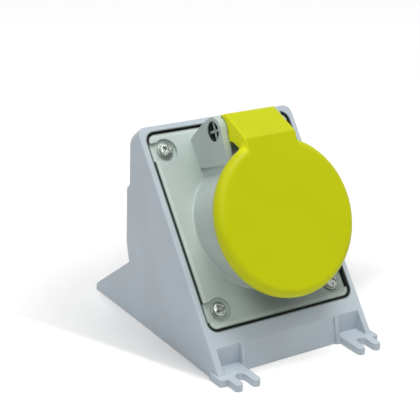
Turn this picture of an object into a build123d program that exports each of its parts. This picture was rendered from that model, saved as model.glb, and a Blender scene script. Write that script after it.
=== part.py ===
from build123d import *
from math import cos, pi, radians, sin, sqrt
import os

os.makedirs("parts", exist_ok=True)

# Driving dimensions in mm. Places on the side are measured back from the side panels' front edge,
# places on the sloping face are measured up it from the same edge.

# Housing
width = 80.0
face_angle = 51.5
face_length = 113.5
base_depth = 106.0
wall = 2.9
floor_wall = 2.6
rim_wall = 3.0
rim_depth = 2.6
corner_radius = 3.8
roof_radius = 4.5
edge_radius = 0.7
crease_up = 15.0
wall_foot = 6.5
roof_run = 5.05
gusset_height = 25.5
gusset_tip = 3.0
pad_proud = 2.4
pad_low = 34.5
pad_high = 59.6
opening_foot = 6.8
ledge_width = 2.8
ledge_thickness = 2.4

# Feet: open slots at the front, round holes at the back
lug_reach = 7.5
lug_thickness = 3.0
fixing_inset_x = 8.4
rear_hole_inset = 11.0
slot_width = 4.8
prong_width = 3.7
slot_inset = 1.4
hole_diameter = 5.2
foot_bump = 1.2
foot_bump_length = 9.0
rib_thickness = 2.0
rib_proud = 1.0
rear_rib_height = 19.0

# Socket flange
flange_gap = 0.8
flange_thickness = 3.0
flange_sink = 0.5
flange_corner = 3.4
gasket_thickness = 1.3
gasket_width = 2.0
screw_inset_x = 6.9
screw_inset_up = 7.85
pocket_sink = 1.4
pocket_radius = 5.2
pocket_half_width = 4.1

# Socket barrel, on an axis that leans further forward than the face does
axis_up = 62.5
barrel_tilt = 11.5
barrel_radius = 28.2
barrel_wall = 2.4
barrel_length = 22.0
barrel_back = 12.0
barrel_fillet = 0.8
keyway_width = 6.4
keyway_depth = 1.2

# Lid
lid_radius = 33.5
lid_front = 28.0
lid_rim = 23.0
lid_wall = 2.4
lid_edge_radius = 3.4
neck_radius = 4.0
seal_height = 2.0
seal_width = 4.0
seal_bead = 1.4
seal_rib = 0.6
catch_width = 6.0
catch_radius = 23.6
catch_drop = 1.0

# Hinge, out of and up from the middle of the socket
hinge_up = 41.1
hinge_out = 10.0
hinge_radius = 6.0
hinge_running_gap = 0.4
ear_thickness = 3.0
ear_front = 28.0
ear_front_lean = 2.1
web_thickness = 2.0
web_out = 12.0
arm_width = 25.2
arm_crease = 34.2
arm_back = 5.8
arm_out = 6.9
arm_edge_radius = 0.8
arm_side_gap = 0.3
boss_length = 2.5
pin_diameter = 5.0
pin_fit = 0.05
pin_head_radius = 4.1
pin_head_depth = 0.8
pin_recess = 4.4
vane_length = 2.6
vane_thickness = 1.1
stop_thickness = 2.0
stop_height = 2.1
clip_thickness = 0.8
clip_radius = 4.4

# Closing spring
spring_wire = 0.8
spring_radius = 3.9
spring_pitch = 1.04
spring_turns = 5
spring_slot = 8.8
spring_gap = 0.6
lid_leg = 9.0
rest_leg = 13.5
rest_thickness = 3.0

# Contacts
insert_radius = 21.0
insert_recess = 2.0
insert_base = 3.0
insert_boss_radius = 3.2
insert_boss_gap = 0.6
pitch_radius = 13.5
pin_bore = 5.1
earth_bore = 7.1
sleeve_wall = 1.4
sleeve_recess = 2.5
bore_depth = 26.5
slit_width = 0.6
slit_length = 16.0
ring_width = 1.6
ring_depth = 0.5
collar_proud = 1.4
retainer_radius = 20.0
retainer_thickness = 2.0
tail_radius = 4.0
tail_length = 7.0
wire_bore = 3.4
wire_bore_depth = 6.0
wiring_gap = 0.8

# Fasteners
m4_radius = 2.0
m4_head_radius = 3.7
m4_head_height = 2.2
m4_length = 10.0
boss_wall = 1.8
washer_radius = 4.4
washer_thickness = 0.8
m3_radius = 1.5
m3_head_radius = 2.6
m3_head_height = 1.8
m3_length = 9.0
terminal_radius = 1.5
terminal_length = 3.2
driver_slot = 0.8
thread_fit = 0.05
fit = 0.2

# Cable gland
gland_height = 46.8
gland_thread = 20.0
gland_thread_fit = 0.2
gland_flats = 22.0
gland_hex_length = 5.5
gland_seal_thickness = 1.2
gland_neck_length = 6.0
gland_neck_radius = 9.0
nut_length = 12.5
nut_wall = 1.9
nut_flat_length = 6.5
nut_gap = 0.6
locknut_flats = 25.0
locknut_thickness = 4.4
spigot_over = 1.0
cable_bore = 11.0
bush_radius = 7.4
bush_length = 9.0

# Frames
half_width = width / 2
inner_half = half_width - rim_wall
front = -(base_depth - lug_reach) / 2
lean = radians(face_angle)
axis_lean = radians(face_angle + barrel_tilt)
# The rear wall clears both the roof and, with the gland's locknut before it, the contacts' tails
tails_back = (
    axis_up * cos(lean) + (barrel_back + insert_base + tail_length) * sin(axis_lean)
    + (pitch_radius + tail_radius) * cos(axis_lean)
)
gland_inside = locknut_thickness + spigot_over
rear_wall = max(face_length * cos(lean) + roof_run, tails_back + wiring_gap + gland_inside + wall)
side = Plane(origin=(0, front, 0), x_dir=(0, 1, 0), z_dir=(1, 0, 0))
face = Plane(origin=(0, front, 0), x_dir=(1, 0, 0), z_dir=(0, -sin(lean), cos(lean)))
mouth = Vector(0, front + axis_up * cos(lean), axis_up * sin(lean))
socket = Plane(origin=mouth, x_dir=(1, 0, 0), z_dir=(0, -sin(axis_lean), cos(axis_lean)))
# Sections across the hinge: local x runs up the lid, local y runs out of the socket
section = Plane(origin=mouth, x_dir=socket.y_dir, z_dir=(1, 0, 0))
ground = Plane(origin=(0, front, 0), x_dir=(1, 0, 0), z_dir=(0, 0, 1))


def face_point(up, out=0.0):
    """Side-view place of a point on the face, up it and out of it."""
    return (up * cos(lean) - out * sin(lean), up * sin(lean) + out * cos(lean))


def corner(sketch, x, y):
    """The sketch's corner nearest a place."""
    return sketch.vertices().sort_by_distance((x, y, 0))[0]


def both_sides(x, y):
    return Locations((x, y), (-x, y))


def disc(plane, radius, length, bore=0.0, mode=Mode.ADD):
    """A disc or a ring on a plane, pulled along the plane's normal."""
    with BuildSketch(plane) as outline:
        Circle(radius)
        if bore:
            Circle(bore, mode=Mode.SUBTRACT)
    extrude(outline.sketch, amount=length, mode=mode)


# The opening in the face, the flange that fills it and the screws that hold it
opening_low = crease_up + opening_foot
opening_high = face_length - rim_wall
opening_middle = (opening_low + opening_high) / 2
opening_half = (opening_high - opening_low) / 2
flange_half_x = inner_half - flange_gap
flange_half_up = opening_half - flange_gap
flange_back = -flange_sink - flange_thickness
ledge_top = flange_back - gasket_thickness
ledge_bottom = ledge_top - ledge_thickness
pocket_floor = -flange_sink - pocket_sink
screw_top = pocket_floor + washer_thickness
screw_end = screw_top - m4_length
screw_x = flange_half_x - screw_inset_x
screw_up = flange_half_up - screw_inset_up
boss_radius = m4_radius + boss_wall
screw_places = [(x, opening_middle + up) for x in (-screw_x, screw_x) for up in (-screw_up, screw_up)]
insert_screw_out = flange_half_x - gasket_width - insert_boss_gap - insert_boss_radius
crease = face_point(crease_up)
lug_x = half_width - fixing_inset_x
lug_half = slot_width / 2 + prong_width
rear_hole = base_depth - rear_hole_inset
gland_face = rear_wall + pad_proud
inner_rear = rear_wall - wall

# Envelope: side panels that run on to the floor in front of and behind the box
top = face_point(face_length)
rim_back = face_point(face_length, -rim_depth)
roof_end = (rear_wall, rim_back[1] - (rear_wall - rim_back[0]))
with BuildPart() as envelope:
    with BuildSketch(side) as outline:
        with BuildLine():
            Polyline(
                (0, 0), top, rim_back, roof_end, (rear_wall, pad_high + pad_proud),
                (gland_face, pad_high), (gland_face, pad_low), (rear_wall, gusset_height),
                (base_depth, gusset_tip), (base_depth, 0), close=True,
            )
        make_face()
        fillet(corner(outline, *roof_end), roof_radius)
        fillet(corner(outline, base_depth, gusset_tip), gusset_tip - 0.5)
    extrude(amount=half_width, both=True)
    with BuildSketch(face.offset(1)) as outline:
        with Locations((0, face_length / 2)):
            Rectangle(width, face_length)
        fillet(outline.vertices().group_by(Axis.Y)[-1], corner_radius)
    extrude(amount=-2 * base_depth, mode=Mode.INTERSECT)
    rim = envelope.faces().sort_by(Axis(origin=(0, 0, 0), direction=face.z_dir))[-1]
    fillet(rim.edges().filter_by(lambda e: e.center().Z > 1), edge_radius)

# Frame round the opening, its ledge for the gasket, and the bosses that take the flange screws
with BuildPart() as frame:
    with BuildSketch(face.offset(ledge_bottom)):
        with Locations((0, opening_middle)):
            RectangleRounded(2 * inner_half + wall, 2 * opening_half + 2 * wall, flange_corner + wall)
            RectangleRounded(2 * inner_half, 2 * opening_half, flange_corner + flange_gap, mode=Mode.SUBTRACT)
    extrude(amount=-ledge_bottom)
    with BuildSketch(face.offset(ledge_bottom)):
        with Locations((0, opening_middle)):
            RectangleRounded(2 * inner_half + wall, 2 * opening_half + wall, flange_corner)
            Rectangle(2 * (inner_half - ledge_width), 2 * (opening_half - ledge_width), mode=Mode.SUBTRACT)
    extrude(amount=ledge_thickness)
    with BuildSketch(face.offset(screw_end - 3)):
        with Locations(*screw_places):
            Circle(boss_radius)
        with Locations(*[(x * (screw_x + inner_half) / (2 * screw_x), up) for x, up in screw_places]):
            Rectangle(inner_half - screw_x, 2 * rib_thickness)
    extrude(amount=ledge_top - screw_end + 3)
    with BuildSketch(face.offset(ledge_top)):
        with Locations(*screw_places):
            Circle(boss_radius)
    extrude(amount=gasket_thickness)
    add(envelope.part, mode=Mode.INTERSECT)

# Housing
with BuildPart() as housing:
    add(envelope.part)
    # Hollow box
    with BuildSketch(side):
        with BuildLine():
            low = crease[0] + wall
            high = face_point(opening_high, -wall)
            Polyline(
                (low, floor_wall), (low, (low * sin(lean) - wall) / cos(lean)), high,
                (inner_rear, high[1] - (inner_rear - high[0]) / sin(lean) * cos(lean)),
                (inner_rear, floor_wall), close=True,
            )
        make_face()
    extrude(amount=inner_half, both=True, mode=Mode.SUBTRACT)
    add(frame.part)
    with BuildSketch(face.offset(ledge_top)):
        with Locations((0, opening_middle)):
            RectangleRounded(2 * inner_half, 2 * opening_half, flange_corner + flange_gap)
        with Locations(*screw_places):
            Circle(boss_radius, mode=Mode.SUBTRACT)
    extrude(amount=-ledge_top + 5, mode=Mode.SUBTRACT)
    with BuildSketch(face.offset(flange_back)):
        with Locations(*screw_places):
            Circle(boss_radius + 1)
    extrude(amount=-flange_back + 5, mode=Mode.SUBTRACT)
    with BuildSketch(face.offset(flange_back)):
        with Locations(*screw_places):
            Circle(m4_radius + thread_fit)
    extrude(amount=screw_end - 1 - flange_back, mode=Mode.SUBTRACT)
    # Open space between the side panels, in front of and behind the box
    with BuildSketch(side):
        with BuildLine():
            Polyline((-1, -1), (crease[0] - 1, crease[1]), crease, (wall_foot, 0), (wall_foot, -1), close=True)
        make_face()
        with BuildLine():
            Polyline(
                (rear_wall, -1), (rear_wall, gusset_height), (base_depth + 1, gusset_height),
                (base_depth + 1, -1), close=True,
            )
        make_face()
    extrude(amount=inner_half, both=True, mode=Mode.SUBTRACT)
    # Pockets behind the front feet, and the ribs beside them
    with BuildSketch(side):
        with BuildLine():
            Polyline((0, -1), (crease[0] - 1, crease[1]), crease, (crease[0], -1), close=True)
        make_face()
    pocket_inside = lug_x - lug_half
    extrude(amount=inner_half, both=True, mode=Mode.SUBTRACT)
    with BuildSketch(side):
        with BuildLine():
            Polyline((wall_foot, 0), crease, (crease[0] + 1, crease[1]), (crease[0] + 1, 0), close=True)
        make_face()
    extrude(amount=pocket_inside, both=True)
    for x in (-pocket_inside + rib_thickness, pocket_inside):
        with BuildSketch(side.offset(x)):
            with BuildLine():
                Polyline(
                    (wall_foot - rib_proud, 0), (crease[0] - rib_proud, crease[1]), crease,
                    (crease[0] + 1, crease[1]), (crease[0] + 1, 0), close=True,
                )
            make_face()
        extrude(amount=-rib_thickness)
    # Front feet
    with BuildSketch(ground):
        with both_sides(lug_x, (crease[0] + 1 - lug_reach) / 2):
            Rectangle(2 * lug_half, crease[0] + 1 + lug_reach)
    extrude(amount=lug_thickness)
    with BuildSketch(ground):
        with both_sides(lug_x, -slot_inset):
            Circle(slot_width / 2)
        with both_sides(lug_x, -slot_inset - lug_reach / 2):
            Rectangle(slot_width, lug_reach)
    extrude(amount=lug_thickness, mode=Mode.SUBTRACT)
    tips = housing.edges().filter_by(Axis.Z).filter_by(lambda e: e.center().Y < front - lug_reach + 0.01)
    fillet(tips, prong_width / 2 - 0.1)
    with BuildSketch(ground):
        with both_sides(half_width - 2 + foot_bump / 2, foot_bump_length / 2 - 1):
            RectangleRounded(4 + foot_bump, foot_bump_length, 1.1)
    extrude(amount=lug_thickness)
    # Rear feet and their inner ribs
    with BuildSketch(ground):
        with both_sides((pocket_inside + half_width - 1) / 2, (rear_wall - 1 + base_depth - 2) / 2):
            Rectangle(half_width - 1 - pocket_inside, base_depth - 2 - rear_wall + 1)
        with both_sides(lug_x, rear_hole):
            Circle(hole_diameter / 2, mode=Mode.SUBTRACT)
    extrude(amount=lug_thickness)
    for x in (-pocket_inside, pocket_inside + rib_thickness):
        with BuildSketch(side.offset(x)):
            with BuildLine():
                Polyline(
                    (rear_wall - 1, 0), (rear_wall - 1, rear_rib_height), (rear_wall, rear_rib_height),
                    (base_depth - 4, lug_thickness), (base_depth - 4, 0), close=True,
                )
            make_face()
        extrude(amount=-rib_thickness)
    # Gland hole
    gland_plane = Plane(origin=(0, front + gland_face, gland_height), x_dir=(-1, 0, 0), z_dir=(0, 1, 0))
    disc(gland_plane, gland_thread / 2 + gland_thread_fit, -3 * wall, mode=Mode.SUBTRACT)
housing.part.label = "housing"
export_step(housing.part, "parts/housing.step")

# Gasket under the flange
with BuildPart() as flange_gasket:
    with BuildSketch(face.offset(ledge_top)):
        with Locations((0, opening_middle)):
            RectangleRounded(2 * flange_half_x - fit, 2 * flange_half_up - fit, flange_corner)
            Rectangle(
                2 * (flange_half_x - gasket_width), 2 * (flange_half_up - gasket_width), mode=Mode.SUBTRACT,
            )
    extrude(amount=gasket_thickness)
flange_gasket.part.label = "flange_gasket"
export_step(flange_gasket.part, "parts/flange_gasket.step")

# Flange with the socket's barrel and the ears of the hinge
bore_radius = barrel_radius - barrel_wall
ear_inside = arm_width / 2 + arm_side_gap
ear_outside = ear_inside + ear_thickness
web_root = bore_radius - 1.8
barrel_middle = bore_radius + barrel_wall / 2
pin_bore_radius = pin_diameter / 2 + pin_fit
hinge_place = (hinge_up, hinge_out)
ear_back = hinge_up + hinge_radius
spring_face = hinge_up - spring_radius - spring_wire / 2


def plate_height(up, depth=0.0):
    """Height out of the socket of the flange's face, at a distance up the socket."""
    tilt = radians(barrel_tilt)
    return (-flange_sink - depth - up * sin(tilt)) / cos(tilt)


with BuildPart() as flange:
    with BuildSketch(face.offset(flange_back)):
        with Locations((0, opening_middle)):
            RectangleRounded(2 * flange_half_x, 2 * flange_half_up, flange_corner)
    extrude(amount=flange_thickness)
    disc(socket.offset(-barrel_back), barrel_radius, barrel_back + barrel_length)
    foot = flange.edges().filter_by(GeomType.ELLIPSE).sort_by(Axis(origin=(0, 0, 0), direction=face.z_dir))[-1]
    fillet(foot, barrel_fillet)
    # Ears with bosses that bear the pin, joined to the barrel by thinner webs, and the web that stops the lid
    for x, inward in ((-ear_outside, 1), (ear_outside, -1)):
        with BuildSketch(section.offset(x)):
            with BuildLine():
                Polyline(
                    (ear_front, plate_height(ear_front, 1)), (ear_front - ear_front_lean, hinge_out + hinge_radius),
                    (hinge_up, hinge_out + hinge_radius), (ear_back, hinge_out),
                    (ear_back - 1.3, hinge_out - hinge_radius - 1),
                    (hinge_up, plate_height(hinge_up, 1)), close=True,
                )
            make_face()
            with Locations(hinge_place):
                Circle(hinge_radius)
        extrude(amount=inward * ear_thickness)
        with BuildSketch(section.offset(x)):
            with Locations(hinge_place):
                Circle(hinge_radius)
        extrude(amount=inward * (ear_thickness + boss_length))
        with BuildSketch(section.offset(x + inward * (ear_thickness - web_thickness))):
            with BuildLine():
                Polyline(
                    (web_root, plate_height(web_root, 1)), (web_root, web_out), (ear_front + 1, web_out),
                    (ear_front + 1, plate_height(ear_front + 1, 1)), close=True,
                )
            make_face()
        extrude(amount=inward * web_thickness)
    with BuildSketch(section):
        with BuildLine():
            stop_back = ear_back - 1.8
            Polyline(
                (stop_back, stop_height), (stop_back - stop_thickness, stop_height),
                (hinge_up - stop_thickness - 0.5, plate_height(hinge_up, 1)),
                (hinge_up - 0.5, plate_height(hinge_up, 1)), close=True,
            )
        make_face()
    extrude(amount=ear_inside + 1, both=True)
    # Rest for the spring's fixed leg
    rest_top = hinge_out - rest_leg + 2.5
    with BuildSketch(section.offset(-spring_pitch * spring_turns / 2 - 0.5)):
        with BuildLine():
            Polyline(
                (barrel_middle, rest_top), (spring_face, rest_top), (spring_face, plate_height(spring_face, 1)),
                (barrel_middle, plate_height(barrel_middle, 1)), close=True,
            )
        make_face()
    extrude(amount=rest_thickness / 2, both=True)
    # Tubular bosses for the screws of the contact retainer
    with BuildSketch(socket.offset(-barrel_back)):
        with both_sides(insert_screw_out, 0):
            Circle(insert_boss_radius)
    extrude(amount=barrel_back - flange_thickness)
    with BuildSketch(socket.offset(-barrel_back)):
        with both_sides(insert_screw_out, 0):
            Circle(m3_radius + thread_fit)
    extrude(amount=m3_length - insert_base + 0.6, mode=Mode.SUBTRACT)
    # Bore with its keyway, and the holes for the pin and the flange screws
    disc(socket.offset(-barrel_back), bore_radius, barrel_back + barrel_length + 1, mode=Mode.SUBTRACT)
    with BuildSketch(socket.offset(-barrel_back)):
        with Locations((0, -bore_radius)):
            Rectangle(keyway_width, 2 * keyway_depth)
    extrude(amount=barrel_back + barrel_length, mode=Mode.SUBTRACT)
    with BuildSketch(section.offset(-ear_outside)):
        with Locations(hinge_place):
            Circle(pin_bore_radius)
    extrude(amount=2 * ear_outside, mode=Mode.SUBTRACT)
    with BuildSketch(section.offset(-ear_outside)):
        with Locations(hinge_place):
            Circle(pin_head_radius + fit)
    extrude(amount=pin_recess, mode=Mode.SUBTRACT)
    with BuildSketch(face.offset(pocket_floor)):
        with Locations(*screw_places):
            Circle(pocket_radius)
        with Locations(*[(x * (screw_x + half_width) / (2 * screw_x), up) for x, up in screw_places]):
            Rectangle(half_width - screw_x, 2 * pocket_half_width)
    extrude(amount=pocket_sink + 1, mode=Mode.SUBTRACT)
    with BuildSketch(face.offset(flange_back)):
        with Locations(*screw_places):
            Circle(m4_radius + fit)
    extrude(amount=flange_thickness, mode=Mode.SUBTRACT)
flange.part.label = "flange"
export_step(flange.part, "parts/flange.step")

# Screws and washers of the flange
with BuildPart() as flange_screws:
    with BuildSketch(face.offset(screw_end)):
        with Locations(*screw_places):
            Circle(m4_radius)
    extrude(amount=m4_length + 0.2)
    with BuildSketch(face.offset(screw_top)):
        with Locations(*screw_places):
            Circle(m4_head_radius)
    extrude(amount=m4_head_height)
    crowns = flange_screws.edges().filter_by(GeomType.CIRCLE)
    crowns = crowns.filter_by(lambda e: abs(face.to_local_coords(e.center()).Z - screw_top - m4_head_height) < 0.01)
    fillet(crowns, 1.0)
    with BuildSketch(face.offset(screw_top + m4_head_height)):
        with Locations(*screw_places):
            Rectangle(4.4, 0.9)
            Rectangle(0.9, 4.4)
    extrude(amount=-1.2, mode=Mode.SUBTRACT)
flange_screws.part.label = "flange_screws"
export_step(flange_screws.part, "parts/flange_screws.step")

with BuildPart() as screw_washers:
    with BuildSketch(face.offset(pocket_floor)):
        with Locations(*screw_places):
            Circle(washer_radius)
            Circle(m4_radius + fit, mode=Mode.SUBTRACT)
    extrude(amount=washer_thickness)
screw_washers.part.label = "screw_washers"
export_step(screw_washers.part, "parts/screw_washers.step")

# Lid: a shallow cap on an arm that ends in the hinge's knuckle
seal_middle = barrel_middle
seal_floor = barrel_length + seal_height
seal_out = seal_middle + seal_width / 2
seal_in = seal_middle - seal_width / 2
knuckle_radius = hinge_radius + 0.1
knuckle_half = ear_inside - boss_length - arm_side_gap
shell_floor = lid_front - lid_wall
arm_half = arm_width / 2
arm_foot = (hinge_up - knuckle_radius, hinge_out)
arm_root = sqrt((lid_radius - lid_edge_radius) ** 2 - arm_half ** 2)
arm_corner = (hinge_up + arm_back, hinge_out + arm_out)


def on_arm_side(edge):
    """Whether an edge of the arm is a long one, on its outer face."""
    place = section.to_local_coords(edge.center())
    return abs(abs(place.Z) - arm_half) < 0.01 and place.X + place.Y > lid_front + arm_root + 1


with BuildPart() as arm:
    with BuildSketch(section) as outline:
        with BuildLine():
            Polyline(
                (arm_root, lid_front), (arm_crease, lid_front), arm_corner,
                (hinge_up + knuckle_radius, hinge_out), arm_foot, (arm_foot[0], hinge_out + 7.5),
                (lid_radius - lid_wall - 1, lid_rim), (arm_root, shell_floor), close=True,
            )
        make_face()
        fillet(corner(outline, arm_crease, lid_front), 1)
        fillet(corner(outline, *arm_corner), 3)
    extrude(amount=arm_half, both=True)
    fillet(arm.edges().filter_by(on_arm_side), arm_edge_radius)

with BuildPart() as lid:
    with BuildSketch(socket.offset(lid_rim)) as outline:
        Circle(lid_radius)
        with Locations((0, arm_crease / 2)):
            Rectangle(arm_width, arm_crease)
        for x in (-arm_half, arm_half):
            fillet(corner(outline, x, sqrt(lid_radius ** 2 - arm_half ** 2)), neck_radius)
    extrude(amount=lid_front - lid_rim)
    cap_face = lid.faces().sort_by(Axis(origin=(0, 0, 0), direction=socket.z_dir))[-1]
    fillet(cap_face.edges().sort_by(Axis(origin=(0, 0, 0), direction=socket.y_dir))[:-1], lid_edge_radius)
    add(arm.part)
    with BuildSketch(section):
        with Locations(hinge_place):
            Circle(knuckle_radius)
    extrude(amount=arm_half, both=True)
    disc(socket.offset(lid_rim), lid_radius - lid_wall, shell_floor - lid_rim, mode=Mode.SUBTRACT)
    disc(socket.offset(seal_floor), seal_out + seal_rib, shell_floor - seal_floor, bore=seal_in - seal_rib)
    disc(socket.offset(lid_rim), seal_out + seal_rib, seal_floor - lid_rim, bore=seal_out + pin_fit)
    disc(socket.offset(lid_rim), seal_in - pin_fit, seal_floor - lid_rim, bore=seal_in - seal_rib)
    # Room for the ears' bosses, and for the spring
    for x in (-ear_inside, knuckle_half):
        with BuildSketch(section.offset(x)):
            with Locations(hinge_place):
                Circle(hinge_radius + hinge_running_gap)
            with BuildLine():
                Polyline(
                    (hinge_up - 9, hinge_out), (hinge_up + 9, hinge_out),
                    (hinge_up + 9, hinge_out - 9), (hinge_up - 9, hinge_out - 9), close=True,
                )
            make_face()
        extrude(amount=ear_inside - knuckle_half, mode=Mode.SUBTRACT)
    coil_room = spring_radius + spring_wire / 2 + spring_gap
    with BuildSketch(section):
        with Locations(hinge_place):
            Circle(coil_room)
        with BuildLine():
            Polyline(
                (hinge_up - 9, hinge_out), (hinge_up - 9, hinge_out - 9),
                (hinge_up + 9, hinge_out - 9), (hinge_up + 9, hinge_out), close=True,
            )
        make_face()
        with BuildLine():
            Polyline(
                (spring_face, hinge_out), (spring_face, hinge_out + lid_leg + spring_gap),
                (hinge_up, hinge_out + lid_leg + spring_gap), (hinge_up, hinge_out), close=True,
            )
        make_face()
    extrude(amount=spring_slot / 2, both=True, mode=Mode.SUBTRACT)
    with BuildSketch(section):
        with Locations(hinge_place):
            Circle(pin_bore_radius)
    extrude(amount=arm_width, both=True, mode=Mode.SUBTRACT)
    # Nose that catches a plug's shoulder
    with BuildSketch(socket.offset(barrel_length - catch_drop)):
        with Locations((0, -catch_radius + 1)):
            RectangleRounded(catch_width, 2, 0.6)
    extrude(amount=shell_floor - barrel_length + catch_drop)
lid.part.label = "lid"
export_step(lid.part, "parts/lid.step")

# Seal in the lid, closed against the end of the barrel
with BuildPart() as lid_seal:
    disc(socket.offset(barrel_length), seal_out, seal_height, bore=seal_in)
lid_seal.part.label = "lid_seal"
export_step(lid_seal.part, "parts/lid_seal.step")

# Hinge pin, its clip and the closing spring
pin_end = ear_outside + 2.2
head_inside = -ear_outside + pin_recess
clip_start = ear_outside + pin_fit
with BuildPart() as hinge_pin:
    with BuildSketch(section.offset(head_inside)):
        with Locations(hinge_place):
            Circle(pin_diameter / 2)
    extrude(amount=pin_end - head_inside)
    with BuildSketch(section.offset(head_inside)):
        with Locations(hinge_place):
            Circle(pin_head_radius)
    extrude(amount=-pin_head_depth)
    with BuildSketch(section.offset(head_inside - pin_head_depth)):
        with Locations(hinge_place):
            Rectangle(2 * pin_head_radius - 0.4, vane_thickness)
            Rectangle(vane_thickness, 2 * pin_head_radius - 0.4)
    extrude(amount=-vane_length)
    with BuildSketch(section.offset(clip_start)):
        with Locations(hinge_place):
            Circle(pin_diameter / 2 + 1)
            Circle(pin_diameter / 2 - 0.6, mode=Mode.SUBTRACT)
    extrude(amount=clip_thickness + 0.1, mode=Mode.SUBTRACT)
    chamfer(hinge_pin.edges().sort_by(Axis.X)[-1], 0.5)
hinge_pin.part.label = "hinge_pin"
export_step(hinge_pin.part, "parts/hinge_pin.step")

with BuildPart() as pin_clip:
    with BuildSketch(section.offset(clip_start + pin_fit)):
        with Locations(hinge_place):
            Circle(clip_radius)
            Circle(pin_diameter / 2 - 0.6 + pin_fit, mode=Mode.SUBTRACT)
        with Locations((hinge_up + 3, hinge_out)):
            Rectangle(6, 3.4, mode=Mode.SUBTRACT)
    extrude(amount=clip_thickness)
pin_clip.part.label = "pin_clip"
export_step(pin_clip.part, "parts/pin_clip.step")

coil_length = spring_pitch * spring_turns
leg_slope = spring_pitch / (2 * pi * spring_radius)
hinge_axis = mouth + socket.y_dir * hinge_up + socket.z_dir * hinge_out
coil = Plane(origin=hinge_axis + Vector(coil_length / 2, 0, 0), x_dir=-socket.y_dir, z_dir=(-1, 0, 0))
wire_path = coil * Wire([
    Line((spring_radius, lid_leg, -lid_leg * leg_slope), (spring_radius, 0, 0)),
    Helix(pitch=spring_pitch, height=coil_length, radius=spring_radius, lefthand=True),
    Line((spring_radius, 0, coil_length), (spring_radius, -rest_leg, coil_length + rest_leg * leg_slope)),
])
with BuildPart() as lid_spring:
    with BuildSketch(Plane(origin=wire_path @ 0, z_dir=wire_path % 0)):
        Circle(spring_wire / 2)
    sweep(path=wire_path)
lid_spring.part.label = "lid_spring"
export_step(lid_spring.part, "parts/lid_spring.step")

# Contacts, each set on the pitch circle by its clock angle
insert_end = barrel_length - insert_recess
insert_back = -barrel_back - insert_base
sleeve_end = insert_end - sleeve_recess
tail_end = insert_back - tail_length
terminal_out = insert_back - retainer_thickness - (tail_length - retainer_thickness) / 2


def clock_place(angle):
    return (pitch_radius * sin(radians(angle)), pitch_radius * cos(radians(angle)))


def contact_plane(angle, height):
    """Plane across a contact, with its local x away from the socket's axis."""
    x, y = clock_place(angle)
    away = socket.x_dir * sin(radians(angle)) + socket.y_dir * cos(radians(angle))
    return Plane(origin=mouth + socket.x_dir * x + socket.y_dir * y + socket.z_dir * height,
                 x_dir=away, z_dir=socket.z_dir)


def contact(bore, angle):
    """A turned contact: slit sleeve, collar and a tail with a screw for the wire."""
    sleeve = bore / 2 + sleeve_wall
    with BuildPart() as body:
        disc(contact_plane(angle, insert_back), sleeve, sleeve_end - insert_back)
        disc(contact_plane(angle, insert_back), sleeve + collar_proud, insert_base)
        disc(contact_plane(angle, tail_end), tail_radius, tail_length)
        disc(contact_plane(angle, sleeve_end), bore / 2, -bore_depth, mode=Mode.SUBTRACT)
        disc(contact_plane(angle, tail_end), wire_bore / 2, wire_bore_depth, mode=Mode.SUBTRACT)
        disc(contact_plane(angle, sleeve_end - 4), sleeve + 1, ring_width + 0.1, bore=sleeve - ring_depth,
             mode=Mode.SUBTRACT)
        with BuildSketch(contact_plane(angle, sleeve_end)) as slit:
            Rectangle(slit_width, 2 * sleeve + 1)
        extrude(slit.sketch, amount=-slit_length, mode=Mode.SUBTRACT)
        hole = contact_plane(angle, terminal_out)
        disc(Plane(origin=hole.origin, z_dir=hole.x_dir), terminal_radius + thread_fit, tail_radius + 1,
             mode=Mode.SUBTRACT)
    return body.part


neutral_angle = 0
earth_angle = 120
line_angle = 240
neutral_shape = contact(pin_bore, neutral_angle)
earth_shape = contact(earth_bore, earth_angle)
line_shape = contact(pin_bore, line_angle)

with BuildPart() as neutral_contact:
    add(neutral_shape)
neutral_contact.part.label = "neutral_contact"
export_step(neutral_contact.part, "parts/neutral_contact.step")

with BuildPart() as earth_contact:
    add(earth_shape)
earth_contact.part.label = "earth_contact"
export_step(earth_contact.part, "parts/earth_contact.step")

with BuildPart() as line_contact:
    add(line_shape)
line_contact.part.label = "line_contact"
export_step(line_contact.part, "parts/line_contact.step")

seats = ((pin_bore, neutral_angle), (earth_bore, earth_angle), (pin_bore, line_angle))
with BuildPart() as contact_rings:
    for bore, angle in seats:
        sleeve = bore / 2 + sleeve_wall
        with BuildSketch(contact_plane(angle, sleeve_end - 4 + pin_fit)):
            Circle(sleeve)
            Circle(sleeve - ring_depth + pin_fit, mode=Mode.SUBTRACT)
            with Locations((0, sleeve)):
                Rectangle(1.2, sleeve, mode=Mode.SUBTRACT)
        extrude(amount=ring_width)
contact_rings.part.label = "contact_rings"
export_step(contact_rings.part, "parts/contact_rings.step")

# Carrier that holds the contacts
with BuildPart() as contact_carrier:
    disc(socket.offset(-barrel_back), insert_radius, insert_end + barrel_back)
    rim_edge = contact_carrier.edges().sort_by(Axis(origin=(0, 0, 0), direction=socket.z_dir))[-1]
    fillet(rim_edge, 0.8)
    for bore, angle in seats:
        sleeve = bore / 2 + sleeve_wall
        disc(contact_plane(angle, -barrel_back), sleeve + fit, insert_end + barrel_back + 1, mode=Mode.SUBTRACT)
    disc(socket.offset(-barrel_back), m3_radius + thread_fit, m3_length - insert_base, mode=Mode.SUBTRACT)
contact_carrier.part.label = "contact_carrier"
export_step(contact_carrier.part, "parts/contact_carrier.step")

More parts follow.
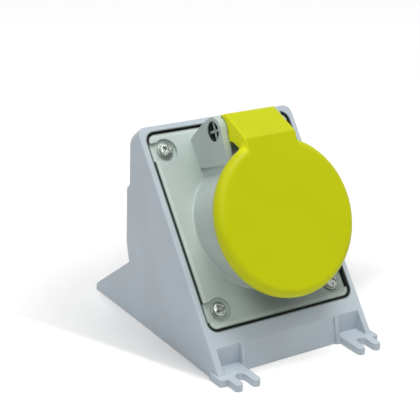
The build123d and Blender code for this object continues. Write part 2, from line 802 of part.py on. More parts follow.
# Retainer behind it: a plate screwed to the flange, with sunk seats for the contacts' collars
with BuildPart() as contact_retainer:
    with BuildSketch(socket.offset(insert_back)):
        with both_sides(insert_screw_out, 0):
            Circle(insert_boss_radius)
        Rectangle(2 * insert_screw_out, 2 * insert_boss_radius)
        Circle(barrel_radius)
        with both_sides(insert_screw_out, 0):
            Circle(m3_radius + fit, mode=Mode.SUBTRACT)
    extrude(amount=insert_base)
    disc(socket.offset(insert_back), retainer_radius, -retainer_thickness)
    for bore, angle in seats:
        collar = bore / 2 + sleeve_wall + collar_proud
        disc(contact_plane(angle, insert_back), collar + fit, insert_base, mode=Mode.SUBTRACT)
        disc(contact_plane(angle, insert_back), tail_radius + fit, -retainer_thickness, mode=Mode.SUBTRACT)
    disc(socket.offset(-barrel_back), m3_radius + fit, -insert_base - retainer_thickness, mode=Mode.SUBTRACT)
contact_retainer.part.label = "contact_retainer"
export_step(contact_retainer.part, "parts/contact_retainer.step")


def screw(plane, radius, length, head_radius, head_height):
    """A slotted screw whose head stands on the plane."""
    disc(plane, radius, -length)
    disc(plane, head_radius, head_height)
    with BuildSketch(plane.offset(head_height)) as cut:
        Rectangle(2 * head_radius + 1, driver_slot)
    extrude(cut.sketch, amount=-head_height / 2, mode=Mode.SUBTRACT)


retainer_back = Plane(
    origin=mouth + socket.z_dir * (insert_back - retainer_thickness), x_dir=(1, 0, 0), z_dir=-socket.z_dir,
)
with BuildPart() as retainer_screw:
    screw(retainer_back, m3_radius, m3_length, m3_head_radius, m3_head_height)
retainer_screw.part.label = "retainer_screw"
export_step(retainer_screw.part, "parts/retainer_screw.step")

carrier_back = Plane(origin=mouth + socket.z_dir * insert_back, x_dir=(1, 0, 0), z_dir=-socket.z_dir)
with BuildPart() as carrier_screws:
    for x in (-insert_screw_out, insert_screw_out):
        screw(Plane(origin=carrier_back.origin + Vector(x, 0, 0), x_dir=(1, 0, 0), z_dir=carrier_back.z_dir),
              m3_radius, m3_length, m3_head_radius, m3_head_height)
carrier_screws.part.label = "carrier_screws"
export_step(carrier_screws.part, "parts/carrier_screws.step")

with BuildPart() as terminal_screws:
    for bore, angle in seats:
        place = contact_plane(angle, terminal_out)
        screw(Plane(origin=place.origin + place.x_dir * (tail_radius + 0.4), z_dir=place.x_dir),
              terminal_radius, terminal_length, 2.1, 1.4)
terminal_screws.part.label = "terminal_screws"
export_step(terminal_screws.part, "parts/terminal_screws.step")


# Cable gland
def gland_at(distance):
    """Plane across the gland, at a distance out from the face that it stands on."""
    return gland_plane.offset(distance)


hex_start = gland_seal_thickness
hex_end = hex_start + gland_hex_length
neck_end = hex_end + gland_neck_length
spigot_end = inner_rear - gland_face - gland_inside
bush_start = neck_end - bush_length + 1.5
with BuildPart() as gland_body:
    with BuildSketch(gland_at(hex_start)):
        RegularPolygon(gland_flats / 2, 6, major_radius=False)
    extrude(amount=gland_hex_length)
    disc(gland_at(spigot_end), gland_thread / 2, hex_start - spigot_end)
    disc(gland_at(hex_end), gland_neck_radius, gland_neck_length)
    disc(gland_at(spigot_end), cable_bore / 2 + 0.5, neck_end - spigot_end, mode=Mode.SUBTRACT)
    disc(gland_at(bush_start), bush_radius, neck_end - bush_start, mode=Mode.SUBTRACT)
gland_body.part.label = "gland_body"
export_step(gland_body.part, "parts/gland_body.step")

with BuildPart() as gland_washer:
    disc(gland_at(0), gland_flats / 2 + 0.4, gland_seal_thickness, bore=gland_thread / 2 + fit)
gland_washer.part.label = "gland_washer"
export_step(gland_washer.part, "parts/gland_washer.step")

with BuildPart() as gland_locknut:
    with BuildSketch(gland_at(inner_rear - gland_face)):
        RegularPolygon(locknut_flats / 2, 6, major_radius=False)
        Circle(gland_thread / 2 + thread_fit, mode=Mode.SUBTRACT)
    extrude(amount=-locknut_thickness)
gland_locknut.part.label = "gland_locknut"
export_step(gland_locknut.part, "parts/gland_locknut.step")

with BuildPart() as gland_bush:
    disc(gland_at(bush_start), bush_radius, bush_length, bore=cable_bore / 2)
gland_bush.part.label = "gland_bush"
export_step(gland_bush.part, "parts/gland_bush.step")

nut_start = hex_end + nut_gap
nut_radius = gland_neck_radius + thread_fit + nut_wall
bush_out = bush_start + bush_length
with BuildPart() as gland_nut:
    with BuildSketch(gland_at(nut_start)):
        RegularPolygon(nut_radius, 6, major_radius=False)
    extrude(amount=nut_flat_length)
    disc(gland_at(nut_start), nut_radius, nut_length)
    dome = gland_nut.edges().filter_by(GeomType.CIRCLE).sort_by(Axis.Y)[-1]
    fillet(dome, 3.5)
    disc(gland_at(nut_start), gland_neck_radius + thread_fit, bush_out - nut_start, mode=Mode.SUBTRACT)
    disc(gland_at(nut_start), cable_bore / 2 + 0.5, nut_length, mode=Mode.SUBTRACT)
gland_nut.part.label = "gland_nut"
export_step(gland_nut.part, "parts/gland_nut.step")
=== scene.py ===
"""Studio view of a surface-mounted industrial socket with a sprung lid."""

import math

import bmesh
import bpy
import numpy as np
from mathutils import Matrix, Vector


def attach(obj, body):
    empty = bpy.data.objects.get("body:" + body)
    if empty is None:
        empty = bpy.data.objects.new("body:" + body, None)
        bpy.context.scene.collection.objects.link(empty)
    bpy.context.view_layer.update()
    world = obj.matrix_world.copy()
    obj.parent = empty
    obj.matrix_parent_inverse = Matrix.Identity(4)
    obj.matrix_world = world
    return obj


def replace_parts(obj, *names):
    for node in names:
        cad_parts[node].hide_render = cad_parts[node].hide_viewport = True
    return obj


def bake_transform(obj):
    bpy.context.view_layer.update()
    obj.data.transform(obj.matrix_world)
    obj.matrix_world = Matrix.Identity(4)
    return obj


bl_info = {
    "name": "Angled industrial socket",
    "version": (1, 0, 0),
    "blender": (4, 5, 0),
    "location": "3D View > Sidebar > Socket",
    "description": "Finishes the pieces of an angled surface socket and sets up its studio",
    "category": "Object",
}

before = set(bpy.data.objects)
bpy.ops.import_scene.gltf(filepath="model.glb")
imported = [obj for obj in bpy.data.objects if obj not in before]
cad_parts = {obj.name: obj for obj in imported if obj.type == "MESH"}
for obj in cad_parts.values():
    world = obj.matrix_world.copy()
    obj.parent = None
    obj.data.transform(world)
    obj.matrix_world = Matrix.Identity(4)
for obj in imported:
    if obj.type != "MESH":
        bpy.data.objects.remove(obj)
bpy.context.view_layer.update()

MM = 0.001
FACE_ANGLE = math.radians(51.5)
AXIS_ANGLE = math.radians(63.0)
FRONT = -49.25
UP_FACE = np.array([0.0, math.cos(FACE_ANGLE), math.sin(FACE_ANGLE)])
OUT_FACE = np.array([0.0, -math.sin(FACE_ANGLE), math.cos(FACE_ANGLE)])
UP_LID = np.array([0.0, math.cos(AXIS_ANGLE), math.sin(AXIS_ANGLE)])
OUT_LID = np.array([0.0, -math.sin(AXIS_ANGLE), math.cos(AXIS_ANGLE)])
ACROSS = np.array([1.0, 0.0, 0.0])
FACE_FOOT = np.array([0.0, FRONT, 0.0])
MOUTH = FACE_FOOT + 62.5 * UP_FACE
HINGE = MOUTH + 41.1 * UP_LID + 10.0 * OUT_LID
FACE_MIDDLE = 66.15
RIM_EDGE = (37.0, 44.35, 4.2)
PLATE_EDGE = (36.2, 43.55, 3.4)
FLOOR_MIDDLE = np.zeros(3)
SHADOW_SIDE = np.array([-0.9153, -0.4026, 0.0])
SHADOW_RUN = np.array([0.4026, -0.9153, 0.0])
SCREWS = [(x, FACE_MIDDLE + up) for x in (-29.3, 29.3) for up in (-35.7, 35.7)]
LAMPS = (
    ("top_lamp", (0.22, -0.22, 3.08), 1.0),
    ("front_left_lamp", (-1.32, -1.76, 2.2), 0.43),
    ("rear_left_lamp", (-1.65, 0.77, 2.31), 0.24),
    ("front_right_lamp", (1.47, -0.97, 2.2), 0.18),
)
LAMP_SIZE = 1.76
FLOOR_HALF = 4.0
SPRING_RADIUS = 3.9
SPRING_PITCH = 1.04
SPRING_TURNS = 5


# Shader maths


class Signal:
    """A socket of a material's node tree, on which Python's operators add Math nodes."""

    def __init__(self, tree, socket=None):
        self.tree = tree
        self.socket = socket

    def node(self, kind, settings=None, values=None, output=0):
        """Adds a node: its settings first, then the values or links of its sockets."""
        made = self.tree.nodes.new(kind)
        for key, value in (settings or {}).items():
            if key == "stops":
                ramp = made.color_ramp
                while len(ramp.elements) < len(value):
                    ramp.elements.new(0.5)
                for element, (place, colour) in zip(ramp.elements, value):
                    element.position = place
                    element.color = colour
            else:
                setattr(made, key, value)
        for key, value in (values or {}).items():
            if isinstance(value, Signal):
                self.tree.links.new(value.socket, made.inputs[key])
            else:
                made.inputs[key].default_value = value
        return Signal(self.tree, made.outputs[output])

    def maths(self, operation, *values):
        return self.node("ShaderNodeMath", {"operation": operation}, dict(enumerate(values)))

    def __add__(self, other):
        return self.maths("ADD", self, other)

    __radd__ = __add__

    def __mul__(self, other):
        return self.maths("MULTIPLY", self, other)

    __rmul__ = __mul__

    def __sub__(self, other):
        return self.maths("SUBTRACT", self, other)

    def __rsub__(self, other):
        return self.maths("SUBTRACT", other, self)

    def __truediv__(self, other):
        return self.maths("DIVIDE", self, other)

    def __abs__(self):
        return self.maths("ABSOLUTE", self)

    def at_least(self, low):
        return self.maths("MAXIMUM", self, low)

    def __neg__(self):
        return self * -1.0

    def root(self):
        return self.maths("SQRT", self)

    def smooth(self, low, high):
        """0 below low, 1 above high and a soft step between."""
        values = {"Value": self, "From Min": low, "From Max": high}
        return self.node("ShaderNodeMapRange", {"interpolation_type": "SMOOTHSTEP"}, values)

    def mix(self, first, second):
        """Between two colours, by this signal."""
        values = {0: self, 6: first, 7: second}
        return self.node("ShaderNodeMix", {"data_type": "RGBA"}, values, output=2)


def linear(colour):
    """A colour written in 0 to 255, as the renderer's linear values."""
    parts = np.asarray(colour, float) / 255
    low = parts / 12.92
    high = ((parts + 0.055) / 1.055) ** 2.4
    return (*np.where(parts <= 0.04045, low, high), 1.0)


def grey(value):
    """A grey of a linear value."""
    return (value, value, value, 1)


def shade(colour, factor):
    """The same colour, lighter or darker."""
    return (*(min(1.0, part * factor) for part in colour[:3]), 1.0)


def start_material(name):
    material = bpy.data.materials.new(name)
    material.use_nodes = True
    tree = material.node_tree
    shader = tree.nodes["Principled BSDF"]
    place = Signal(tree).node("ShaderNodeTexCoord", output=3)
    return material, shader, place


def noise(place, scale, detail=2.0, roughness=0.5):
    values = {"Vector": place, "Scale": scale, "Detail": detail, "Roughness": roughness}
    return place.node("ShaderNodeTexNoise", None, values)


def bump(height, strength, distance, normal=None):
    values = {"Height": height, "Strength": strength, "Distance": distance}
    if normal is not None:
        values["Normal"] = normal
    return height.node("ShaderNodeBump", None, values)


def finish_material(tree, shader, links):
    for key, signal in links.items():
        tree.links.new(signal.socket, shader.inputs[key])


def ruler(place, axis, start):
    """Distance in millimetres along an axis, from a point."""
    reach = place.node("ShaderNodeVectorMath", {"operation": "DOT_PRODUCT"}, {0: place, 1: axis}, output=1)
    return reach * 1000.0 - float(axis @ start)


def distance(place):
    """Distance in millimetres from the middle of the foot."""
    return place.node("ShaderNodeVectorMath", {"operation": "LENGTH"}, {0: place}, output=1) * 1000.0


def past_edge(place, half_x, half_up, corner):
    """Distance in millimetres outward from the edge of a rounded rectangle on the sloping face."""
    across = (abs(ruler(place, ACROSS, FACE_FOOT)) - (half_x - corner)).at_least(0.0)
    up = (abs(ruler(place, UP_FACE, FACE_FOOT) - FACE_MIDDLE) - (half_up - corner)).at_least(0.0)
    return (across * across + up * up).root() - corner


# Painted light and shade marks: each gives a mask by the place on the piece, and the colour that it mixes in


def painted_rim_shade(place):
    """Painted shade on the housing's edge round the flange, dark where it drops to the gasket."""
    depth = ruler(place, OUT_FACE, FACE_FOOT).smooth(-8.0, -6.0)
    return (1 - past_edge(place, *RIM_EDGE).smooth(0.1, 0.9)) * depth, (64, 72, 70)


def painted_foot_shadow(place):
    """Painted shadow of the lid on the lower side of the barrel's foot and the plate below it."""
    down = -ruler(place, UP_FACE, MOUTH)
    # The band below the mouth where the lid's painted shadow falls.
    lid_shadow_band = down.smooth(14.0, 30.0) * (1 - down.smooth(36.0, 43.0))
    return lid_shadow_band * ruler(place, ACROSS, MOUTH).smooth(-24.0, 4.0) * 0.5, (60, 74, 58)


def painted_plate_shade(place):
    """Painted shade on the flange's edge, dark in the gap."""
    height = ruler(place, OUT_FACE, FACE_FOOT)
    return past_edge(place, *PLATE_EDGE).smooth(-0.7, -0.1) * (1 - height.smooth(0.2, 0.6)), (76, 86, 80)


def painted_plate_highlight(place):
    """Painted highlight: a light band inside the flange's edge, where its corner is rounded."""
    height = ruler(place, OUT_FACE, FACE_FOOT)
    edge = past_edge(place, *PLATE_EDGE)
    band = edge.smooth(-2.4, -1.6) * (1 - edge.smooth(-1.0, -0.6)) * (1 - height.smooth(0.2, 0.6))
    return band * 0.5, (222, 234, 228)


def painted_recess_shade(place):
    """Painted shade in the recess over the pin's head, dark towards its floor."""
    up = ruler(place, UP_LID, HINGE)
    out = ruler(place, OUT_LID, HINGE)
    across = ruler(place, ACROSS, HINGE)
    inside = (1 - (up * up + out * out).root().smooth(4.4, 4.6)) * (1 - across.smooth(-11.4, -11.0))
    return inside * across.smooth(-15.8, -15.3), (58, 68, 65)


def painted_arm_light(place):
    """Painted light on the left flank of the lid's arm, as bright as its front."""
    side = 1 - ruler(place, ACROSS, HINGE).smooth(-12.5, -12.1)
    return side * ruler(place, UP_LID, HINGE).smooth(-14.0, -9.0), (246, 250, 8)


def painted_pin_shade(place):
    """Painted shade on the pin's head, dark all over."""
    across = ruler(place, ACROSS, HINGE)
    return across.smooth(-14.8, -14.4) * (1 - across.smooth(-10.0, -9.0)), (40, 48, 46)


def moulded_plastic(name, colour, roughness=0.42, spread=0.05, edge=0.45, grain=0.25, marks=()):
    """Moulded plastic: fine spark-eroded grain, slow flow shading, softly broken edges, and any marks of
    painted light and shade.
    """
    material, shader, place = start_material(name)
    base = linear(colour)
    flow = noise(place, 38.0, 3.0).smooth(0.3, 0.7)
    speck = noise(place, 2600.0, 1.0)
    tint = flow.mix(shade(base, 1 - spread), shade(base, 1 + spread))
    tint = (speck.smooth(0.62, 0.78) * 0.25).mix(tint, shade(base, 0.9))
    # Each mark mixes in painted light or shade by its mask.
    for mark in marks:
        mask, tone = mark(place)
        tint = mask.mix(tint, linear(tone))
    rough = flow * 0.06 + speck * 0.06 + (roughness - 0.06)
    edges = place.node("ShaderNodeBevel", {"samples": 6}, {"Radius": edge * MM})
    normal = bump(noise(place, 3400.0, 2.0), grain, 0.00006, edges)
    finish_material(material.node_tree, shader, {"Base Color": tint, "Roughness": rough, "Normal": normal})
    shader.inputs["IOR"].default_value = 1.47
    return material


def soft_rubber(name, colour):
    """Matt rubber: mottled, with a faint bloom."""
    material, shader, place = start_material(name)
    base = linear(colour)
    mottle = noise(place, 420.0, 4.0).smooth(0.35, 0.7)
    tint = mottle.mix(shade(base, 0.8), shade(base, 1.35))
    rough = mottle * 0.15 + 0.65
    normal = bump(noise(place, 1500.0, 3.0), 0.3, 0.00008)
    finish_material(material.node_tree, shader, {"Base Color": tint, "Roughness": rough, "Normal": normal})
    shader.inputs["Specular IOR Level"].default_value = 0.35
    return material


def plated_steel(name, colour, roughness=0.28):
    """Bright zinc plate: a clouded shine with hairline scratches."""
    material, shader, place = start_material(name)
    base = linear(colour)
    cloud = noise(place, 240.0, 4.0).smooth(0.3, 0.75)
    stretched = place.node("ShaderNodeMapping", None, {"Vector": place, "Scale": (300.0, 4200.0, 900.0)})
    hair = noise(stretched, 1.0, 2.0).smooth(0.55, 0.72)
    tint = cloud.mix(shade(base, 0.86), shade(base, 1.06))
    rough = cloud * 0.12 + hair * 0.1 + (roughness - 0.05)
    edges = place.node("ShaderNodeBevel", {"samples": 4}, {"Radius": 0.00015})
    normal = bump(hair, 0.15, 0.00003, edges)
    finish_material(material.node_tree, shader, {"Base Color": tint, "Roughness": rough, "Normal": normal})
    shader.inputs["Metallic"].default_value = 1.0
    return material


def turned_brass(name, colour):
    """Turned brass: close rings left by the tool along the socket's axis, and a little tarnish."""
    material, shader, place = start_material(name)
    base = linear(colour)
    along = place.node("ShaderNodeVectorMath", {"operation": "DOT_PRODUCT"}, {0: place, 1: OUT_LID}, output=1)
    rings = (along * 14000.0).maths("SINE", along * 14000.0) * 0.5 + 0.5
    stain = noise(place, 180.0, 4.0).smooth(0.45, 0.75)
    tint = stain.mix(base, shade(base, 0.7))
    rough = stain * 0.2 + rings * 0.05 + 0.22
    normal = bump(rings, 0.2, 0.00002)
    finish_material(material.node_tree, shader, {"Base Color": tint, "Roughness": rough, "Normal": normal})
    shader.inputs["Metallic"].default_value = 1.0
    return material


def dress(material, *nodes):
    """Gives CAD nodes a material."""
    for name in nodes:
        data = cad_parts[name].data
        data.materials.clear()
        data.materials.append(material)


# Surfaces


def skin(name, grids, material, body):
    """A piece made of grids of points in millimetres; each grid is (points, closes round), where closing
    round joins the last column to the first.
    """
    points = []
    faces = []
    start = 0
    for grid, loop in grids:
        rows, columns = grid.shape[:2]
        index = np.arange(rows * columns).reshape(rows, columns) + start
        start += rows * columns
        points.append(grid.reshape(-1, 3))
        after = np.roll(index, -1, 1) if loop else index[:, 1:]
        here = index if loop else index[:, :-1]
        quads = np.stack([here[:-1], after[:-1], after[1:], here[1:]], -1)
        faces.append(quads.reshape(-1, 4))
    mesh = bpy.data.meshes.new(name)
    mesh.from_pydata(np.concatenate(points) * MM, [], np.concatenate(faces).tolist())
    shape = bmesh.new()
    shape.from_mesh(mesh)
    bmesh.ops.remove_doubles(shape, verts=shape.verts, dist=0.001 * MM)
    bmesh.ops.recalc_face_normals(shape, faces=shape.faces)
    shape.to_mesh(mesh)
    shape.free()
    mesh.polygons.foreach_set("use_smooth", np.ones(len(mesh.polygons), bool))
    mesh.materials.append(material)
    piece = bpy.data.objects.new(name, mesh)
    bpy.context.scene.collection.objects.link(piece)
    if body:
        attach(piece, body)
    return piece


def turned(profile, columns=64):
    """Radii and heights carried round an axis: x = r cos(t), y = r sin(t), z = h, t along the columns."""
    turn = np.linspace(0, 2 * np.pi, columns, endpoint=False)
    radius, height = np.asarray(profile, float).T[:, :, None]
    return np.stack([radius * np.cos(turn), radius * np.sin(turn), height + 0 * turn], -1)


def set_down(grid, origin, right, out):
    """Carries a grid from x, y and z to the axes right, out x right and out, and to its place."""
    axes = np.stack([right, np.cross(out, right), out])
    return grid @ axes + origin


def rounded_profile(corners, radii, steps=5):
    """A profile with an arc in each inner corner: quadratic curves from one leg to the next."""
    corners = [np.asarray(corner, float) for corner in corners]
    made = [corners[0][None]]
    share = np.linspace(0, 1, steps)[:, None]
    for before, here, after, radius in zip(corners, corners[1:], corners[2:], radii):
        start = here + (before - here) / np.linalg.norm(before - here) * radius
        end = here + (after - here) / np.linalg.norm(after - here) * radius
        made.append((1 - share) ** 2 * start + 2 * share * (1 - share) * here + share**2 * end)
    made.append(corners[-1][None])
    return np.concatenate(made)


def cross_screw(head_radius, head_height, shank, length, pitch=0.7, columns=72):
    """A pan-head screw as one grid. The head is a dome less a cross-shaped dent whose depth fades along each
    arm; below it the radius follows a triangular wave along the height and once round for the thread."""
    turn = np.linspace(0, 2 * np.pi, columns, endpoint=False)
    radius = np.linspace(0.0, head_radius - 0.25, 30)[:, None] + 0 * turn
    x, y = radius * np.cos(turn), radius * np.sin(turn)
    crown = head_height - 0.9 * (radius / head_radius) ** 3.0
    arm_x = np.clip((0.62 - np.abs(y)) / 0.16, 0, 1) * np.clip((2.3 - np.abs(x)) / 0.5, 0, 1)
    arm_y = np.clip((0.62 - np.abs(x)) / 0.16, 0, 1) * np.clip((2.3 - np.abs(y)) / 0.5, 0, 1)
    nick = np.clip((0.42 - np.abs(x - y) / math.sqrt(2)) / 0.12, 0, 1)
    slot = nick * np.clip((1.9 - radius) / 0.3, 0, 1)
    dent = np.maximum(np.maximum(arm_x, arm_y) * (1.35 - 0.25 * radius), slot * 0.25)
    top = np.stack([x, y, crown - dent], -1)
    edge = crown[-1, 0]
    side = rounded_profile(
        [
            (head_radius - 0.25, edge),
            (head_radius, edge - 0.35),
            (head_radius, 0.0),
            (shank, 0.0),
            (shank, -0.4),
        ],
        [0.2, 0.15, 0.1],
    )
    depth = np.arange(-0.5, -length + 1.2, -pitch / 6)[:, None]
    wave = np.abs(((depth / pitch + turn / (2 * np.pi)) % 1.0) * 2 - 1)
    thread = shank - 0.42 * wave
    rod = np.stack([thread * np.cos(turn), thread * np.sin(turn), depth + 0 * turn], -1)
    point = turned([(shank * 0.7, -length + 1.0), (0.6, -length), (0.0, -length)], columns)
    return np.concatenate([top, turned(side, columns), rod, point])


def wire_tube(path, radius, sides=10):
    """A tube along a path: rings at right angles to the path's tangent, closed to a point at both ends."""
    tangent = np.gradient(path, axis=0)
    tangent /= np.linalg.norm(tangent, axis=1)[:, None]
    first = np.cross(tangent, ACROSS + 0.001)
    first /= np.linalg.norm(first, axis=1)[:, None]
    second = np.cross(tangent, first)
    turn = np.linspace(0, 2 * np.pi, sides, endpoint=False)
    size = np.full(len(path), radius)
    size[[0, -1]] = 0
    ring = first[:, None] * np.cos(turn)[:, None] + second[:, None] * np.sin(turn)[:, None]
    return path[:, None] + size[:, None, None] * ring


# Settings


class SocketSettings(bpy.types.PropertyGroup):
    housing_colour: bpy.props.FloatVectorProperty(
        name="Housing", description="Colour of the housing, 0 to 255", default=(198, 209, 218), min=0, max=255
    )
    flange_colour: bpy.props.FloatVectorProperty(
        name="Flange", description="Colour of the flange, 0 to 255", default=(194, 207, 202), min=0, max=255
    )
    lid_colour: bpy.props.FloatVectorProperty(
        name="Lid", description="Colour of the lid, 0 to 255", default=(208, 214, 8), min=0, max=255
    )
    key_power: bpy.props.FloatProperty(
        name="Key light", description="Power of the main lamp", default=54.0, min=0, unit="POWER"
    )
    sky: bpy.props.FloatProperty(
        name="Sky", description="Strength of the even light from all round", default=0.035, min=0, max=2
    )


# Operators


class SOCKET_OT_housing(bpy.types.Operator):
    """Finish the housing's grey moulding"""

    bl_idname = "socket.housing"
    bl_label = "Housing"

    def execute(self, context):
        colour = context.scene.socket_settings.housing_colour
        # The housing's moulding carries painted shade where its edge drops to the gasket.
        grey = moulded_plastic("housing_moulding", colour, marks=(painted_rim_shade,))
        dress(grey, "housing")
        return {"FINISHED"}


class SOCKET_OT_flange(bpy.types.Operator):
    """Finish the flange and its barrel"""

    bl_idname = "socket.flange"
    bl_label = "Flange"

    def execute(self, context):
        colour = context.scene.socket_settings.flange_colour
        # Painted highlight and painted shade at the flange's edge, painted shadow of the lid below the
        # barrel, painted shade in the pin's recess.
        marks = (painted_plate_highlight, painted_foot_shadow, painted_plate_shade, painted_recess_shade)
        grey = moulded_plastic("flange_moulding", colour, 0.36, marks=marks)
        dress(grey, "flange")
        return {"FINISHED"}


class SOCKET_OT_lid(bpy.types.Operator):
    """Finish the yellow lid"""

    bl_idname = "socket.lid"
    bl_label = "Lid"

    def execute(self, context):
        colour = context.scene.socket_settings.lid_colour
        # The lid's moulding carries painted light on the left flank of its arm.
        yellow = moulded_plastic("lid_moulding", colour, 0.4, 0.02, 0.8, 0.15, (painted_arm_light,))
        yellow.node_tree.nodes["Principled BSDF"].inputs["Specular IOR Level"].default_value = 0.2
        dress(yellow, "lid")
        return {"FINISHED"}


class SOCKET_OT_inside(bpy.types.Operator):
    """Finish the carrier, the contacts, the seals and the fasteners"""

    bl_idname = "socket.inside"
    bl_label = "Inside and fasteners"

    def execute(self, context):
        dark = moulded_plastic("carrier_moulding", (44, 45, 48), 0.45)
        dress(dark, "contact_carrier", "contact_retainer")
        # The pin's moulding carries painted shade all over its head.
        dress(moulded_plastic("pin_moulding", (170, 180, 180), 0.4, marks=(painted_pin_shade,)), "hinge_pin")
        pale = moulded_plastic("gland_moulding", (172, 181, 186), 0.35)
        dress(pale, "gland_body", "gland_nut", "gland_locknut")
        rubber = soft_rubber("seal_rubber", (38, 40, 42))
        dress(rubber, "flange_gasket", "lid_seal", "gland_washer", "gland_bush")
        zinc = plated_steel("zinc_plate", (160, 165, 161))
        dress(zinc, "flange_screws", "screw_washers", "retainer_screw", "carrier_screws", "terminal_screws")
        dress(plated_steel("spring_steel", (178, 180, 184), 0.35), "lid_spring", "pin_clip", "contact_rings")
        brass = turned_brass("contact_brass", (206, 172, 96))
        dress(brass, "line_contact", "neutral_contact", "earth_contact")
        return {"FINISHED"}


class SOCKET_OT_screws(bpy.types.Operator):
    """Cross-headed flange screws on their washers"""

    bl_idname = "socket.screws"
    bl_label = "Flange screws"

    def execute(self, context):
        zinc = bpy.data.materials["zinc_plate"]
        ring = rounded_profile(
            [(3.0, 0.8), (3.6, 0.8), (3.6, 0.0), (2.2, 0.0), (2.2, 0.8), (3.0, 0.8)], [0.2, 0.1, 0.1, 0.2]
        )
        bodies = []
        rings = []
        for number, (x, up) in enumerate(SCREWS):
            seat = FACE_FOOT + x * ACROSS + up * UP_FACE
            turn = 0.5 + 1.9 * number
            right = math.cos(turn) * ACROSS + math.sin(turn) * UP_FACE
            screw = cross_screw(3.05, 2.0, 2.0, 10.0)
            bodies.append((set_down(screw, seat - 1.1 * OUT_FACE, right, OUT_FACE), True))
            rings.append((set_down(turned(ring), seat - 1.9 * OUT_FACE, right, OUT_FACE), True))
        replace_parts(skin("flange_screw_set", bodies, zinc, "base"), "flange_screws")
        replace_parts(skin("flange_washer_set", rings, zinc, "base"), "screw_washers")
        return {"FINISHED"}


class SOCKET_OT_spring(bpy.types.Operator):
    """Round wire spring that winds up as the lid opens"""

    bl_idname = "socket.spring"
    bl_label = "Lid spring"

    def execute(self, context):
        rise = SPRING_PITCH / (2 * np.pi * SPRING_RADIUS)
        length = SPRING_PITCH * SPRING_TURNS
        lid_leg = np.linspace(9.0, 0.4, 12)
        turn = np.linspace(0, 2 * np.pi * SPRING_TURNS, 36 * SPRING_TURNS)
        rest_leg = np.linspace(0.4, 13.5, 16)
        start_x = 0 * lid_leg + SPRING_RADIUS
        end_x = 0 * rest_leg + SPRING_RADIUS
        x = np.concatenate([start_x, SPRING_RADIUS * np.cos(turn), end_x])
        y = np.concatenate([lid_leg, -SPRING_RADIUS * np.sin(turn), -rest_leg])
        z = np.concatenate([-lid_leg * rise, turn / (2 * np.pi) * SPRING_PITCH, length + rest_leg * rise])
        path = set_down(np.stack([x, y, z], -1), HINGE + length / 2 * ACROSS, -UP_LID, -ACROSS)
        wire = wire_tube(path, 0.4)
        steel = bpy.data.materials["spring_steel"]
        spring = skin("lid_spring_wire", [(wire, True)], steel, None)
        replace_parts(spring, "lid_spring")
        ends = (HINGE - length / 2 * ACROSS, HINGE + length / 2 * ACROSS)
        tuple(ends[0] * MM)
        tuple(ends[1] * MM)
        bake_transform(spring)
        return {"FINISHED"}


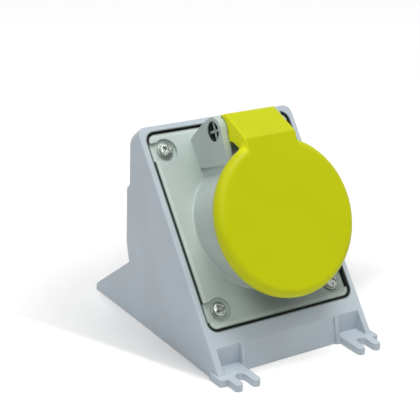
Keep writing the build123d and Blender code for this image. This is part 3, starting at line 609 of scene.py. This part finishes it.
class SOCKET_OT_stage(bpy.types.Operator):
    """Floor, lights and the camera at the photograph's angle"""

    bl_idname = "socket.stage"
    bl_label = "Studio"

    def execute(self, context):
        settings = context.scene.socket_settings
        self.floor()
        self.sky(settings.sky)
        for name, place, share in LAMPS:
            self.lamp(name, place, settings.key_power * share)
        self.camera()
        context.scene.view_settings.view_transform = "Standard"
        return {"FINISHED"}

    def floor(self):
        """White paper with a faint glow and a painted shadow: the glow is weaker in a wedge that ends in a
        straight line beside the part, and the paper darker in it towards the part's front corner.
        """
        corners = FLOOR_HALF * np.array([(-1, -1, 0), (1, -1, 0), (1, 1, 0), (-1, 1, 0)])
        mesh = bpy.data.meshes.new("floor")
        mesh.from_pydata(corners, [], [(0, 1, 2, 3)])
        floor = bpy.data.objects.new("floor", mesh)
        bpy.context.scene.collection.objects.link(floor)
        material, shader, place = start_material("floor_paper")
        side = ruler(place, SHADOW_SIDE, FLOOR_MIDDLE)
        run = ruler(place, SHADOW_RUN, FLOOR_MIDDLE)
        far = distance(place).smooth(66.0, 125.0)
        # Painted shadow: light falls to 0 in the wedge beside the part, where the glow is weaker and the
        # paper darker towards the corner.
        light = side.smooth(53.0, 59.0).at_least(far).at_least(run.smooth(22.0, 40.0))
        corner = run.smooth(-60.0, 0.0) * side.smooth(20.0, 50.0)
        tint = (corner * (1 - light)).mix(grey(0.86), grey(0.68))
        glow_tint = light.mix(grey(0.1), grey(0.3))
        finish_material(material.node_tree, shader, {"Base Color": tint})
        shader.inputs["Roughness"].default_value = 0.9
        shader.inputs["Specular IOR Level"].default_value = 0.0
        seen = place.node("ShaderNodeLightPath", output=0)
        gloss = place.node("ShaderNodeLightPath", output=3)
        clear = place.node("ShaderNodeLightPath", output=6)
        shader.inputs["Emission Strength"].default_value = 0.0
        tree = material.node_tree
        glow_values = {"Color": glow_tint, "Strength": seen + gloss + clear}
        glow = place.node("ShaderNodeEmission", None, glow_values)
        both = place.node("ShaderNodeAddShader", None, {1: glow})
        tree.links.new(shader.outputs[0], both.socket.node.inputs[0])
        tree.links.new(both.socket, tree.nodes["Material Output"].inputs["Surface"])
        mesh.materials.append(material)

    def sky(self, strength):
        world = bpy.data.worlds.new("sky")
        world.use_nodes = True
        bpy.context.scene.world = world
        tree = world.node_tree
        ground = tree.nodes["Background"]
        ground.inputs["Color"].default_value = (1, 1, 1, 1)
        seen = Signal(tree).node("ShaderNodeLightPath", output=0)
        gloss = Signal(tree).node("ShaderNodeLightPath", output=3)
        clear = Signal(tree).node("ShaderNodeLightPath", output=6)
        shown = (seen + gloss + clear).maths("MINIMUM", seen + gloss + clear, 1.0)
        power = shown * (0.99 - strength) + strength
        tree.links.new(power.socket, ground.inputs["Strength"])

    def lamp(self, name, place, power):
        light = bpy.data.lights.new(name, "AREA")
        light.shape = "DISK"
        light.size = LAMP_SIZE
        light.energy = power
        lamp = bpy.data.objects.new(name, light)
        lamp.location = place
        aim = Vector((0, 0, 0.045)) - Vector(place)
        lamp.rotation_euler = aim.to_track_quat("-Z", "Y").to_euler()
        bpy.context.scene.collection.objects.link(lamp)

    def camera(self):
        data = bpy.data.cameras.new("camera")
        data.sensor_width = 36
        data.lens = 105.45
        data.clip_start = 0.01
        camera = bpy.data.objects.new("camera", data)
        right = Vector((0.83701, -0.54623, 0.03248))
        up = Vector((0.17344, 0.32112, 0.93102))
        back = Vector((-0.51898, -0.77364, 0.36352))
        turn = Matrix((right, up, back)).transposed().to_4x4()
        camera.matrix_world = Matrix.Translation((-0.28852, -0.40679, 0.24588)) @ turn
        bpy.context.scene.collection.objects.link(camera)
        bpy.context.scene.camera = camera


class SOCKET_PT_panel(bpy.types.Panel):
    """Lists the socket's pieces"""

    bl_idname = "SOCKET_PT_panel"
    bl_label = "Angled socket"
    bl_space_type = "VIEW_3D"
    bl_region_type = "UI"
    bl_category = "Socket"

    def draw(self, context):
        settings = context.scene.socket_settings
        for name in SocketSettings.__annotations__:
            self.layout.prop(settings, name)
        for operator in PIECES:
            self.layout.operator(operator.bl_idname)


PIECES = (
    SOCKET_OT_housing,
    SOCKET_OT_flange,
    SOCKET_OT_lid,
    SOCKET_OT_inside,
    SOCKET_OT_screws,
    SOCKET_OT_spring,
    SOCKET_OT_stage,
)
CLASSES = (SocketSettings, *PIECES, SOCKET_PT_panel)


def register():
    for entry in CLASSES:
        bpy.utils.register_class(entry)
    bpy.types.Scene.socket_settings = bpy.props.PointerProperty(type=SocketSettings)


def unregister():
    del bpy.types.Scene.socket_settings
    for entry in reversed(CLASSES):
        bpy.utils.unregister_class(entry)


def main():
    register()
    for operator in PIECES:
        group, name = operator.bl_idname.split(".")
        getattr(getattr(bpy.ops, group), name)()


if __name__ == "__main__":
    main()
